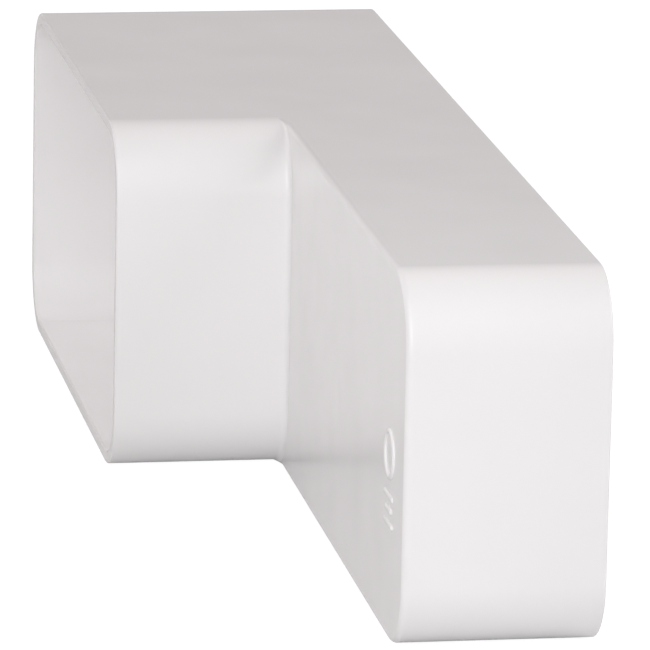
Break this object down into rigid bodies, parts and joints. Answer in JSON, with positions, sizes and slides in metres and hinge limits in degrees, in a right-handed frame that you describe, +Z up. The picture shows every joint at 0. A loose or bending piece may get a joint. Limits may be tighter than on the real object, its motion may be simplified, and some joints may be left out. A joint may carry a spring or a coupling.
{
  "type": "rectangular duct reducer",
  "caption": "Stepped one-piece plastic reducer joining a narrow flat rectangular duct to a wide one of the same height, with an open slip-over sleeve at each end.",
  "frame": {"origin": "middle of the bounding box in plan, at the level of the face it rests on", "axes": "+X runs with the air from the narrow rim to the wide rim, +Y runs across the ducts towards the flush back face, +Z is up from the resting face"},
  "size_m": [0.0616, 0.2246, 0.0595],
  "materials": {
    "white_plastic": "satin moulded"
  },
  "bodies": {
    "root": {"reducer_body": "white_plastic"}
  },
  "joints": []
}
